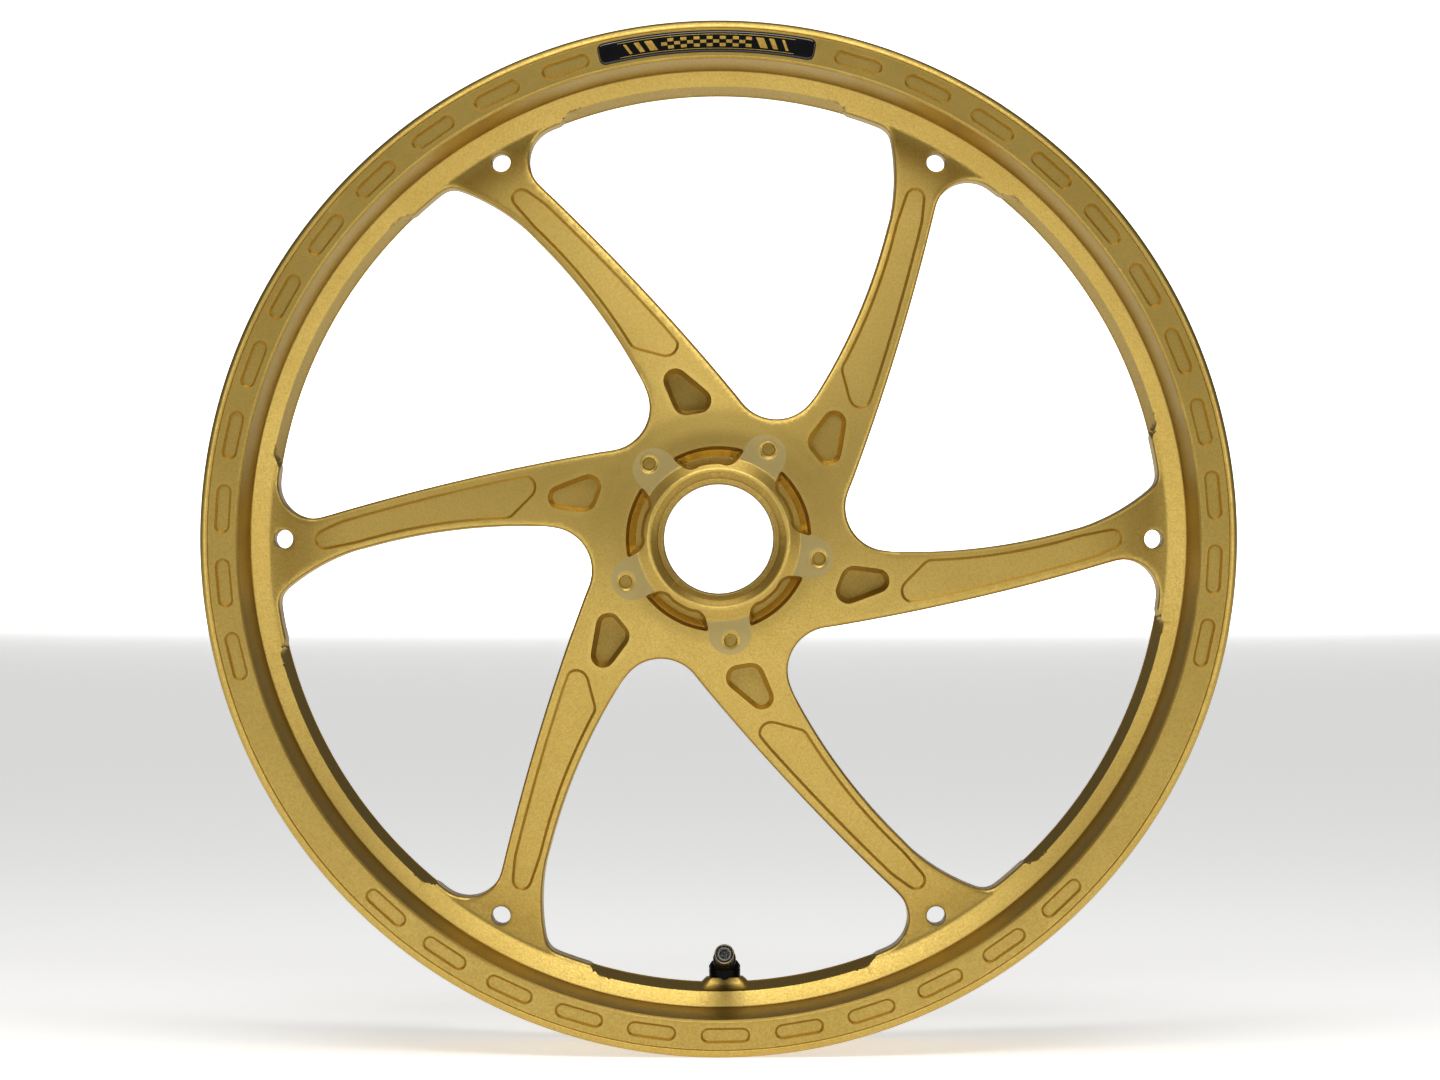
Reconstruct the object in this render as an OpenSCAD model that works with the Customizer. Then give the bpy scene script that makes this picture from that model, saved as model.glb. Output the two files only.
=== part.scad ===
// Forged six-spoke front wheel rim for a road-racing motorcycle, 17 x 3.50 inch,
// with its angled tyre valve, valve cap and rim badge.
// The origin is the wheel's centre. The axle lies along Y, the badge side faces -Y
// and the valve is at the bottom. Each piece is drawn in the wheel's own frame, with
// x and y in the plane of the wheel and z towards the badge side, and is then stood up.

/* [Rim] */
// Radius of the bead seat, from the nominal 17 inch rim
bead_seat_r = 218.3; // [218:0.1:218.6]
// Height of the rim flange above the bead seat
flange_h = 14; // [13:0.5:14.5]
// Width between the flanges
inside_w = 88.9; // [86:0.1:92]
// Thickness of each flange at its side face
flange_t = 6.55; // [6:0.05:7]
// Radius of the bottom of the well, on the tyre side
well_r = 210; // [209:0.5:211]

/* [Spokes] */
// Number of spokes
spoke_n = 6; // [6:6]
// Radius of the outer edge of the windows between the spokes
window_r = 202; // [201:0.5:202.5]
// Half thickness of the wheel's disc at the spoke tips
tip_half_t = 11; // [9:0.5:12]
// Diameter of the hole through each spoke tip
tip_hole_d = 8.6; // [7:0.1:9]
// Radius of the circle that the spoke tip holes lie on
tip_hole_r = 197.7; // [197:0.1:198]
// Depth of the long recess in the face of each spoke
recess_t = 1; // [0.6:0.1:1.5]

/* [Hub] */
// Half thickness of the hub over its brake disc lugs
lug_half_t = 38; // [36:0.5:39]
// Half thickness of the hub over its bearing noses
nose_half_t = 42; // [41:0.5:43]
// Radius of the wheel bearing seats
bearing_r = 27.5; // [27.5:27.5]
// Depth of each bearing seat
bearing_t = 14; // [13:0.5:15]
// Radius of the bore between the bearing seats
bore_r = 25; // [24:0.5:26]
// Number of brake disc lugs on each side
lug_n = 5; // [5:5]
// Angle of the first disc lug on the badge side
lug_a = 60.8; // [60:0.1:62]
// Radius of the circle that the disc bolts lie on
disc_bolt_r = 46; // [45.5:0.5:46.5]
// Radius of the tapped disc bolt holes before tapping
disc_hole_r = 3.4; // [3.3:0.05:3.5]
// Depth of the tapped disc bolt holes
disc_hole_t = 14; // [10:1:16]

/* [Valve] */
// Angle of the valve round the wheel
valve_a = -89.2; // [-92:0.1:-88]
// Angle between the valve's arm and the axle
arm_tilt = 8; // [6:0.5:10]
// Diameter of the valve hole in the rim
valve_hole_d = 8.3; // [8.3:8.3]

/* [Hidden] */
$fn = 96;

rim_r = bead_seat_r + flange_h;
face_z = inside_w / 2 + flange_t;
e = 1;

// The disc that the spokes are cut from: its face rises from the spoke tips to the hub
tip_r = 200;
dome_r = 50;
function disc_z(r) = tip_half_t + (lug_half_t - 0.4 - tip_half_t)
                     * pow((tip_r - r) / (tip_r - dome_r), 1.2);
disc_rs = [52, 60, 70, 84, 104, 130, 164, tip_r];

// Arc of n straight steps about centre c, from angle a0 to angle a1
function arc(c, r, a0, a1, n) =
    [for (i = [0:n]) let (a = a0 + (a1 - a0) * i / n) c + r * [cos(a), sin(a)]];
function turned(points, a) =
    [for (p = points) [p[0] * cos(a) - p[1] * sin(a), p[0] * sin(a) + p[1] * cos(a)]];
function reversed(points) = [for (i = [len(points) - 1:-1:0]) points[i]];
function mirrored(points) = [for (p = reversed(points)) [p[0], -p[1]]];

// Outline of one window, between the leading edge of the spoke at angle 0 and the
// trailing edge of the next one. Every arc runs into the next one without a corner.
window_outline = concat(
    arc([76.6, 14.2], 19.5, 159.1, 267, 10),
    arc([89.3, 256.6], 262.5, -92.6, -73.9, 5),
    arc([136.7, 93], 92.4, -72, -49.3, 4),
    arc([191.8, 29], 8, -40, 2, 3),
    arc([0, 0], window_r, 8.6, 52.2, 12),
    turned(arc([184.5, -25.1], window_r - 186.2, -4, 106.5, 7), 60),
    turned(arc([-119.8, 999.5], 1053, -73.7, -80.6, 4), 60));

// Outline of the long shallow recess down the face of the spoke at angle 0
recess_outline = concat(
    arc([179, 0.2], 4.6, -68, 98, 6),
    arc([88, 256.6], 265.8, -73.4, -88.6, 5),
    [[93.4, -9.9]],
    arc([88, -23.4], 5.8, 138, 250, 6),
    arc([-119.8, 999.5], 1049, -78.3, -73.9, 3));

// Outline of the pocket at the root of the spoke at angle 0
root_outline = concat(
    arc([60.8, -18], 5.6, 85, 158, 4),
    arc([58.6, -23.3], 5.6, 175, 278, 5),
    arc([71.6, -18.9], 5.2, -62, 75, 6));

// Outline of the pocket that lightens the far side of the spoke at angle 0
back_outline = concat(
    arc([tip_hole_r - 1, 0.4], 6.5, -60, 62, 5),
    arc([89.3, 256.6], 268, -73.2, -88, 5),
    arc([90, -20], 7, 110, 250, 6),
    arc([-119.8, 999.5], 1047, -78, -74, 3));

// Half of the wheel's section from the bore to the well, as radius and height
half_section = concat(
    [[bore_r, nose_half_t - bearing_t - 3], [bearing_r, nose_half_t - bearing_t - 3],
     [bearing_r, nose_half_t - 2.7], [30.2, nose_half_t], [31.4, nose_half_t],
     [36.9, lug_half_t], [dome_r, lug_half_t]],
    [for (r = disc_rs) [r, disc_z(r)]],
    [[203.4, tip_half_t + 0.2], [205.2, tip_half_t + 1.6], [211.4, 19], [212.7, 26],
     [215.2, face_z - 1.2], [216.4, face_z]],
    arc([rim_r - 3.3, face_z - 3.3], 3.3, 90, 0, 4),
    arc([rim_r - 2.2, inside_w / 2 + 1.8], 2.2, -10, -80, 3),
    [[bead_seat_r + 3, inside_w / 2], [bead_seat_r + 0.8, inside_w / 2 - 0.8],
     [bead_seat_r, inside_w / 2 - 3], [bead_seat_r - 1.2, 27],
     [bead_seat_r + 0.2, 24.5], [bead_seat_r - 0.6, 22], [well_r, 9]]);

// Angle of the middle of the first scallop, half way between two spoke tips
scallop_a = 32;

// Levels of the floors of the hub's pockets, and of those behind the spokes
star_floor_z = 31.5;
deep_floor_z = 20;
shallow_floor_z = 28;
back_floor_z = -4.5;

// Sizes of the recesses round the rim's side face
slot_r = 222.2;
slot_w = 6.6;
slot_a = 5.7;
slot_t = 1.2;
slot_n = 42;
slot_pitch = 360 / slot_n;

// Sizes of the badge, which fills the place of three of those recesses
badge_a = 91.4;
badge_span = 25;
badge_w = 9.2;
badge_t = 1.2;
badge_seat_t = 0.9;

// Levels of the valve, outwards along the wheel's radius
boss_r = 199.6;
spot_r = 209.2;
arm_r = 192.5;
arm_tip = 38;
cap_from = 30;
cap_to = 46;

// Places a piece drawn in the wheel's frame
module stand() { rotate([90, 0, 0]) children(); }
// Places a piece of the valve: x outwards along the wheel's radius, z along the axle
module at_valve() { stand() rotate([0, 0, valve_a]) children(); }
// Places a piece on the valve's arm, with z along the arm from the elbow to the cap
module on_arm() { at_valve() translate([arm_r, 0, 0]) rotate([0, -arm_tilt, 0]) children(); }
module tube(r_out, r_in, z0, z1) {
    translate([0, 0, z0]) difference() {
        cylinder(r = r_out, h = z1 - z0);
        translate([0, 0, -e]) cylinder(r = r_in, h = z1 - z0 + 2 * e);
    }
}
module prism(outline, z0, z1) { translate([0, 0, z0]) linear_extrude(z1 - z0) polygon(outline); }
module round_the_wheel(n) { for (i = [0:n - 1]) rotate([0, 0, i * 360 / n]) children(); }

// Everything in the wheel's section, as one ring
module wheel_blank() {
    rotate_extrude($fn = 180) polygon(concat(half_section, mirrored(half_section)));
}

// Steep scallop that thins the wall of the rim between two spokes
module scallop() {
    intersection() {
        rotate_extrude($fn = 180) polygon([
            [window_r - 4, 1.5], [window_r + 0.4, 1.5], [206.4, 15], [206.4, 17], [window_r - 4, 17]]);
        prism([[190, -66], [207.5, -57.5], [209.5, 0], [207.5, 57.5], [190, 66]], 0, 20);
    }
}

// Long recess that follows the rising face of a spoke
module spoke_recess() {
    intersection() {
        prism(recess_outline, 0, lug_half_t);
        rotate_extrude($fn = 180) polygon(concat(
            [for (r = disc_rs) [r, disc_z(r) - recess_t]],
            [for (r = reversed(disc_rs)) [r, disc_z(r) + e]]));
    }
}

// Pocket between two lugs: it follows the bearing nose inside and a circle outside
module star_pocket() {
    half_a = 180 / lug_n;
    lug_half_w = 9.7;
    inner = concat(
        turned([[40.2, -lug_half_w], [36.5, -lug_half_w - 0.2]], half_a),
        turned(arc([36.6, -lug_half_w - 7.2], 7, 108, 150, 4), half_a),
        arc([0, 0], 34, 8, -8, 3),
        turned(arc([36.6, lug_half_w + 7.2], 7, -150, -108, 4), -half_a),
        turned([[36.5, lug_half_w + 0.2], [40.2, lug_half_w]], -half_a));
    prism(concat(inner, arc([0, 0], 41.5, -21.5, 21.5, 8)), star_floor_z, nose_half_t + e);
}

// Straight recess with round ends, in the rim's side face
module side_slot() {
    half_l = slot_r * sin(slot_a / 2) - slot_w / 2;
    prism(concat(arc([slot_r, half_l], slot_w / 2, 0, 180, 6),
                 arc([slot_r, -half_l], slot_w / 2, 180, 360, 6)), face_z - slot_t, face_z + e);
}

// Curved strip for the badge and its seat, drawn about its own middle
module badge_strip(w, span, z0, z1) {
    c = 2.6;
    ca = c / slot_r * 180 / PI;
    r0 = slot_r + 0.6 - w / 2;
    r1 = r0 + w;
    outline = concat(
        arc([0, 0], r1, -span / 2 + ca, span / 2 - ca, 10),
        turned(arc([r1 - c, 0], c, 30, 90, 2), span / 2 - ca),
        turned(arc([r0 + c, 0], c, 90, 150, 2), span / 2 - ca),
        arc([0, 0], r0, span / 2 - ca, -span / 2 + ca, 10),
        turned(arc([r0 + c, 0], c, 210, 270, 2), -span / 2 + ca),
        turned(arc([r1 - c, 0], c, 270, 330, 2), -span / 2 + ca));
    prism(outline, z0, z1);
}

// Raised seat for the valve, on the hub side of the rim's wall
module valve_boss() {
    rotate([0, 0, valve_a]) prism(
        [[207.5, -13], [204, -12], [boss_r, -8.2], [boss_r, 8.2], [204, 12], [207.5, 13]], -9, 9);
}

module valve_hole() {
    rotate([0, 0, valve_a]) {
        translate([boss_r - e, 0, 0]) rotate([0, 90, 0])
            cylinder(d = valve_hole_d, h = 20);
        translate([spot_r, 0, 0]) rotate([0, 90, 0]) cylinder(d = 17, h = 12);
    }
}

module forged_wheel() {
    color("#c8a850") stand() difference() {
        union() {
            difference() {
                wheel_blank();
                round_the_wheel(spoke_n) prism(window_outline, -60, 60);
                for (side = [0, 1]) mirror([0, 0, side])
                    round_the_wheel(spoke_n) rotate([0, 0, scallop_a]) scallop();
            }
            valve_boss();
        }
        round_the_wheel(spoke_n) translate([tip_hole_r, 0, -60]) cylinder(d = tip_hole_d, h = 120);
        round_the_wheel(spoke_n) spoke_recess();
        round_the_wheel(3) {
            prism(root_outline, deep_floor_z, nose_half_t);
            rotate([0, 0, 60]) prism(root_outline, shallow_floor_z, nose_half_t);
        }
        round_the_wheel(spoke_n) prism(back_outline, -60, back_floor_z);
        for (side = [0, 1]) mirror([0, 0, side]) rotate([0, 0, lug_a * (1 - 2 * side)])
            round_the_wheel(lug_n) rotate([0, 0, 180 / lug_n]) star_pocket();
        rotate([0, 0, lug_a]) round_the_wheel(lug_n)
            translate([disc_bolt_r, 0, lug_half_t - disc_hole_t])
                cylinder(r = disc_hole_r, h = disc_hole_t + e);
        for (i = [0:slot_n - 1]) if (i % 14 > 1 && i % 14 < 13)
            rotate([0, 0, badge_a - 0.6 + i * slot_pitch]) side_slot();
        rotate([0, 0, badge_a])
            badge_strip(badge_w + 0.4, badge_span + 0.1, face_z - badge_seat_t, face_z + e);
        valve_hole();
    }
}

// Domed strip that sits in its seat in the rim's side face
module rim_badge() {
    color("#16161a") stand() rotate([0, 0, badge_a])
        badge_strip(badge_w, badge_span, face_z - badge_seat_t, face_z - badge_seat_t + badge_t);
}

// Elbow that stands on the boss, with its threaded shank through the rim's wall
module valve_body() {
    color("#1c1c1e") difference() {
        union() {
            at_valve() {
                translate([boss_r - 1.2, 0, 0]) rotate([0, -90, 0]) cylinder(r = 7.2, h = 6.2);
                translate([boss_r - 7.4, 0, 0]) rotate([0, -90, 0]) cylinder(r1 = 7.2, r2 = 5.7, h = 2.2);
                translate([boss_r - 3, 0, 0]) rotate([0, 90, 0]) cylinder(r = 4, h = 20.5);
                translate([boss_r - 2, 0, 0]) rotate([0, 90, 0]) cylinder(r = 5.2, h = 2);
            }
            on_arm() {
                translate([0, 0, -6.2]) cylinder(r = 5.2, h = 21.2);
                translate([0, 0, 14]) cylinder(r = 4.4, h = 10);
                translate([0, 0, 20]) cylinder(r = 3.8, h = arm_tip - 20);
            }
        }
        at_valve() translate([arm_r, 0, 0]) rotate([0, 90, 0]) cylinder(r = 1.1, h = 40);
        on_arm() {
            translate([0, 0, -1.7]) cylinder(r = 1.4, h = arm_tip);
            translate([0, 0, 18]) cylinder(r = 2.1, h = arm_tip);
            translate([0, 0, 29]) cylinder(r = 2.65, h = arm_tip);
        }
    }
}

// Rubber ring squeezed between the elbow and the boss
module valve_base_seal() {
    color("#242424") at_valve() translate([boss_r, 0, 0]) rotate([0, -90, 0]) tube(7, 5.25, 0, 1.2);
}

module valve_washer() {
    color("#b9bcc0") at_valve() translate([spot_r, 0, 0]) rotate([0, 90, 0]) tube(7.4, 4.08, 0, 1);
}

module valve_nut() {
    color("#b9bcc0") at_valve() translate([spot_r + 1, 0, 0]) rotate([0, 90, 0]) difference() {
        cylinder(r = 6.9, h = 4.5, $fn = 6);
        translate([0, 0, -e]) cylinder(r = 4.05, h = 4.5 + 2 * e);
    }
}

// Threaded plug that holds the valve core in the arm
module core_housing() {
    color("#c9a95a") on_arm() difference() {
        union() {
            translate([0, 0, 29.2]) cylinder(r = 2.6, h = 4.6);
            translate([0, 0, 24]) cylinder(r = 1.5, h = 5.4);
            translate([0, 0, 33.6]) cylinder(r = 1.5, h = 2.6);
        }
        translate([0, 0, 23]) cylinder(r = 0.75, h = 20);
        translate([0, 0, 24.8]) cylinder(r = 1.15, h = 7);
    }
}

// Spring-loaded pin that opens the valve when it is pressed
module core_pin() {
    color("#c9a95a") on_arm() {
        translate([0, 0, 20.4]) cylinder(r = 0.45, h = 17);
        translate([0, 0, 36.6]) cylinder(r = 0.7, h = 0.9);
        translate([0, 0, 29.6]) cylinder(r = 0.7, h = 0.6);
        translate([0, 0, 20.2]) cylinder(r = 1.1, h = 0.8);
    }
}

// Wire of the spring: rings of points along a helix, joined up into a closed coil
module core_spring() {
    turns = 6;
    steps = 14;
    sides = 6;
    coil_r = 0.9;
    wire_r = 0.12;
    z0 = 25;
    z1 = 29.4;
    n = turns * steps;
    points = [for (i = [0:n]) let (a = 360 * i / steps, z = z0 + wire_r + (z1 - z0 - 2 * wire_r) * i / n)
        for (j = [0:sides - 1]) let (b = 360 * j / sides, r = coil_r + wire_r * cos(b))
            [r * cos(a), r * sin(a), z + wire_r * sin(b)]];
    sides_of = [for (i = [0:n - 1]) for (j = [0:sides - 1]) let (k = (j + 1) % sides)
        [i * sides + j, (i + 1) * sides + j, (i + 1) * sides + k, i * sides + k]];
    color("#d8d8d8") on_arm() polyhedron(points, concat(
        [[for (j = [0:sides - 1]) j]], sides_of, [[for (j = [sides - 1:-1:0]) n * sides + j]]));
}

// Rubber washer that the pin's cup pulls against the end of the housing
module core_cup_seal() {
    color("#242424") on_arm() tube(1.35, 0.5, 21.1, 23.9);
}

// Sealing ring round the housing, at the step of the arm's bore
module core_gasket() {
    color("#242424") on_arm() tube(2.05, 1.55, 25.4, 28.2);
}

module valve_cap() {
    color("#17171a") on_arm() difference() {
        union() {
            translate([0, 0, cap_from]) cylinder(r = 4.5, h = cap_to - cap_from - 1);
            translate([0, 0, cap_to - 1]) cylinder(r1 = 4.5, r2 = 3.6, h = 1);
        }
        translate([0, 0, cap_from - e]) cylinder(r = 3.86, h = 9 + e);
        translate([0, 0, cap_to - 0.5]) cylinder(r = 3, h = e);
    }
}

// Rubber washer inside the cap, which closes on the end of the arm
module cap_gasket() {
    color("#242424") on_arm() tube(3.8, 1.6, arm_tip, cap_from + 8.95);
}

// Thin disc let into the end of the cap
module cap_inlay() {
    color("#9a9ca0") on_arm() translate([0, 0, cap_to - 0.5]) cylinder(r = 3, h = 0.4);
}

forged_wheel();
rim_badge();
valve_body();
valve_base_seal();
valve_washer();
valve_nut();
core_housing();
core_pin();
core_spring();
core_cup_seal();
core_gasket();
valve_cap();
cap_gasket();
cap_inlay();
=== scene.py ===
import math

import bpy
import numpy as np
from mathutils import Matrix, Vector
from mathutils.geometry import delaunay_2d_cdt


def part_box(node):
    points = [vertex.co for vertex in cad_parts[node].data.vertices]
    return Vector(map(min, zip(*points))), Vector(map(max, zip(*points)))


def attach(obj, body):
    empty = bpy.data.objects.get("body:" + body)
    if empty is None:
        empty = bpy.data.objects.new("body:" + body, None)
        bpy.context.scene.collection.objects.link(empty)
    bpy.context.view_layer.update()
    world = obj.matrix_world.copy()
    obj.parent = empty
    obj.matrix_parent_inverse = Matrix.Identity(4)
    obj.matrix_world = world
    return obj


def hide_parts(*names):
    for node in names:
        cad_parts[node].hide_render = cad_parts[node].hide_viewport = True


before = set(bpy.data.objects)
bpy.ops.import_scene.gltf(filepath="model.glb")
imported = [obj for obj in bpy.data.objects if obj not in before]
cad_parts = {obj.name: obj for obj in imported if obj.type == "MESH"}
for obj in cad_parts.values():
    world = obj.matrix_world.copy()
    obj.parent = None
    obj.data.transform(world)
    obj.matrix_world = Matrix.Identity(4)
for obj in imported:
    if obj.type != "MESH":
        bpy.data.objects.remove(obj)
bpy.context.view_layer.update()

# --- Wheel forging -----------------------------------------------------------------
# Rim, six swept spokes and hub are one aluminium forging, turned on a lathe, then
# milled between and on the spokes, blasted with fine beads and anodised gold.
# Its sizes are in millimetres, in the plane of the wheel, with height towards the
# badge side.

MM = 0.001
RIM_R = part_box("forged_wheel")[1].x / MM
FACE_H = -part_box("forged_wheel")[0].y / MM
SPOKES = 6
LUGS = 5
WINDOW_R = 202.0
WELL_R = 210.0
TIP_HALF_T = 11.0
LUG_HALF_T = 38.0
NOSE_HALF_T = 42.0
TIP_HOLE_R, TIP_HOLE = 197.7, 4.3
LUG_TURN = 60.8
LUG_HALF_W = 9.6
DISC_BOLT_R = 46.0
VALVE_A = -89.2
BOSS_R, SPOT_R = 199.6, 209.2
RIM_STEPS = 540


def arc(centre, radius, start, end, step=1.0):
    steps = max(2, round(abs(math.radians(end - start)) * radius / step))
    angles = np.radians(np.linspace(start, end, steps + 1))
    return np.array(centre) + radius * np.stack([np.cos(angles), np.sin(angles)], 1)


def circle(radius, steps, centre=(0, 0)):
    angles = np.arange(steps) * 2 * math.pi / steps
    return np.array(centre) + radius * np.stack([np.cos(angles), np.sin(angles)], 1)


def turned(points, degrees):
    c, s = math.cos(math.radians(degrees)), math.sin(math.radians(degrees))
    return np.asarray(points) @ np.array([[c, s], [-s, c]])


def softened(outline, step, passes):
    """The outline with even points, and with its small corners worn round."""
    closed = np.vstack([outline, outline[:1]])
    along = np.concatenate([[0], np.cumsum(np.linalg.norm(np.diff(closed, axis=0), axis=1))])
    at = np.linspace(0, along[-1], max(8, round(along[-1] / step)), endpoint=False)
    loop = np.stack([np.interp(at, along, closed[:, k]) for k in (0, 1)], 1)
    for _ in range(passes):
        loop = (np.roll(loop, 1, 0) + 2 * loop + np.roll(loop, -1, 0)) / 4
    return loop


def moved_in(loop, distance):
    """The loop moved towards its own inside. Loops run anticlockwise."""
    along = np.roll(loop, -1, 0) - np.roll(loop, 1, 0)
    along /= np.linalg.norm(along, axis=1)[:, None]
    return loop + distance * np.stack([-along[:, 1], along[:, 0]], 1)


def depth_inside(points, loop, reach=4.0):
    """Distance of each point inside the loop, or how far outside it is as a minus."""
    found = np.full(len(points), -reach)
    low, high = loop.min(0) - reach, loop.max(0) + reach
    near = np.flatnonzero(np.all((points > low) & (points < high), axis=1))
    a, b = loop, np.roll(loop, -1, 0)
    ab = b - a
    rise = np.where(ab[:, 1] == 0, 1, ab[:, 1])
    for some in np.array_split(near, len(near) // 3000 + 1):
        p = points[some, None]
        t = np.clip(((p - a) * ab).sum(2) / (ab**2).sum(1), 0, 1)
        gap = np.sqrt((((a + t[..., None] * ab) - p) ** 2).sum(2)).min(1)
        spans = (a[:, 1] <= p[..., 1]) != (b[:, 1] <= p[..., 1])
        left = p[..., 0] < a[:, 0] + (p[..., 1] - a[:, 1]) * ab[:, 0] / rise
        found[some] = np.where((spans & left).sum(1) % 2 == 1, gap, np.maximum(-gap, -reach))
    return found


def smooth(t):
    t = np.clip(t, 0, 1)
    return t * t * (3 - 2 * t)


def filleted(corners, steps=5):
    """A line through corners given as (radius, height, fillet), with each one rounded."""
    points = [np.array(c[:2], float) for c in corners]
    line = [points[0]]
    for before, here, after, corner in zip(points, points[1:], points[2:], corners[1:]):
        u, v = before - here, after - here
        room = min(np.linalg.norm(u), np.linalg.norm(v)) * 0.48
        u, v = u / np.linalg.norm(u), v / np.linalg.norm(v)
        half = math.acos(float(np.clip(u @ v, -1, 1))) / 2
        cut = min(room, corner[2] / math.tan(half))
        start, end = here + u * cut, here + v * cut
        for t in np.linspace(0, 1, steps):
            line.append((1 - t) ** 2 * start + 2 * t * (1 - t) * here + t * t * end)
    line.append(points[-1])
    return np.array(line)


class Shell:
    """Points and faces gathered bit by bit, in metres, and then made into one object."""

    def __init__(self):
        self.points, self.faces, self.finishes, self.count = [], [], [], 0

    def add(self, points):
        self.points.append(np.asarray(points, float))
        self.count += len(points)
        return np.arange(self.count - len(points), self.count)

    def face(self, *corners, finish=0):
        self.faces.append(tuple(int(c) for c in corners))
        self.finishes.append(finish)

    def strip(self, first, second, finish=0, closed=True):
        n = len(first)
        for i in range(n if closed else n - 1):
            j = (i + 1) % n
            self.face(first[i], first[j], second[j], second[i], finish=finish)

    def rows(self, rows, finish=0):
        """Closed rows of points joined one to the next. Returns the numbers of all."""
        numbers = [self.add(r) for r in rows]
        for a, b in zip(numbers, numbers[1:]):
            self.strip(a, b, finish)
        return numbers

    def piece(self, name, body, slot, materials, nodes=(), sharp=30):
        mesh = bpy.data.meshes.new(name)
        mesh.from_pydata(np.vstack(self.points).tolist(), [], self.faces)
        for material in materials:
            mesh.materials.append(material)
        mesh.polygons.foreach_set("material_index", self.finishes)
        mesh.shade_smooth()
        mesh.set_sharp_from_angle(angle=math.radians(sharp))
        mesh.validate()
        made = bpy.data.objects.new(name, mesh)
        bpy.context.scene.collection.objects.link(made)
        if nodes:
            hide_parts(*nodes)
        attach(made, body)
        return made


def add(tree, kind, inputs=None, **settings):
    """Adds a shader node with its settings, and values or links for its inputs."""
    new = tree.nodes.new(kind)
    for name, value in settings.items():
        setattr(new, name, value)
    for name, value in (inputs or {}).items():
        if isinstance(value, bpy.types.NodeSocket):
            tree.links.new(value, new.inputs[name])
        else:
            new.inputs[name].default_value = value
    return new


def rgb(code):
    """An sRGB hex colour as linear red, green, blue and alpha."""
    parts = [int(code[i:i + 2], 16) / 255 for i in (1, 3, 5)]
    return (*(c / 12.92 if c <= 0.04045 else ((c + 0.055) / 1.055) ** 2.4 for c in parts), 1.0)


def new_material(name):
    """An empty material: its tree, its surface shader, and the object's own coordinates."""
    material = bpy.data.materials.new(name)
    material.use_nodes = True
    tree = material.node_tree
    tree.nodes.clear()
    shader = add(tree, "ShaderNodeBsdfPrincipled")
    add(tree, "ShaderNodeOutputMaterial", {"Surface": shader.outputs[0]})
    place = add(tree, "ShaderNodeTexCoord").outputs["Object"]
    return material, tree, shader, place


def grain(tree, place, size_mm, detail=2.0, roughness=0.5):
    """Noise whose lumps are about size_mm across, from 0 to 1."""
    return add(tree, "ShaderNodeTexNoise", {
        "Vector": place, "Scale": 1 / (size_mm * MM), "Detail": detail,
        "Roughness": roughness}).outputs["Fac"]


def between(tree, factor, low, high, from_low=0.3, from_high=0.7):
    """A number that goes from low to high as the factor goes between two levels."""
    return add(tree, "ShaderNodeMapRange", {
        "Value": factor, "From Min": from_low, "From Max": from_high,
        "To Min": low, "To Max": high}).outputs["Result"]


def blended(tree, factor, first, second, mode="MIX"):
    """A colour mixed from two others."""
    mix = add(tree, "ShaderNodeMix", {0: factor, 6: first, 7: second}, data_type="RGBA", blend_type=mode)
    return mix.outputs[2]


# Bead-blasted aluminium, anodised gold: fine even grain, faintly cloudy where the dye took more,
# and a paler gold on sharp convex edges, which is a painted edge highlight.
gold, tree, shader, place = new_material("blasted_gold_anodised_aluminium")
cloud = between(tree, grain(tree, place, 38, 3), 0, 1)
speck = between(tree, grain(tree, place, 0.9, 2, 0.6), 0, 1)
colour = blended(tree, cloud, rgb("#C6AC63"), rgb("#CEB46B"))
colour = blended(tree, between(tree, speck, 0, 0.5, 0, 1), colour, rgb("#A88C4A"))
# Painted highlight: sharp convex edges (by pointiness) are mixed towards a paler gold.
edge = add(tree, "ShaderNodeNewGeometry").outputs["Pointiness"]
colour = blended(tree, between(tree, edge, 0, 0.35, 0.52, 0.58), colour, rgb("#E0C878"))
tree.links.new(colour, shader.inputs["Base Color"])
shader.inputs["Metallic"].default_value = 1.0
tree.links.new(between(tree, speck, 0.36, 0.46, 0, 1), shader.inputs["Roughness"])
bump = add(tree, "ShaderNodeBump", {"Height": speck, "Strength": 0.22, "Distance": 0.00006})
tree.links.new(bump.outputs["Normal"], shader.inputs["Normal"])

# Disc lug faces, skimmed on a lathe before the anodising: greyer, with fine turning rings.
lug_face, tree, shader, place = new_material("skimmed_gold_anodised_aluminium")
across = add(tree, "ShaderNodeMapping", {"Vector": place, "Scale": (1, 0, 1)}).outputs[0]
radius = add(tree, "ShaderNodeVectorMath", {0: across}, operation="LENGTH").outputs["Value"]
rings = add(tree, "ShaderNodeMath", {0: radius, 1: 2 * math.pi / (0.45 * MM)}, operation="MULTIPLY").outputs[0]
rings = add(tree, "ShaderNodeMath", {0: rings}, operation="SINE").outputs[0]
speck = grain(tree, place, 0.8)
colour = blended(tree, speck, rgb("#AF9D6B"), rgb("#BAA976"))
tree.links.new(colour, shader.inputs["Base Color"])
shader.inputs["Metallic"].default_value = 1.0
tree.links.new(between(tree, speck, 0.46, 0.56), shader.inputs["Roughness"])
bump = add(tree, "ShaderNodeBump", {"Height": rings, "Strength": 0.12, "Distance": 0.00002})
tree.links.new(bump.outputs["Normal"], shader.inputs["Normal"])


def spoke_face(r):
    """Height of the spokes' faces, which climb from their tips to the hub."""
    return TIP_HALF_T + (LUG_HALF_T - 0.4 - TIP_HALF_T) * np.clip((200 - r) / 150, 0, 1) ** 1.2


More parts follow.
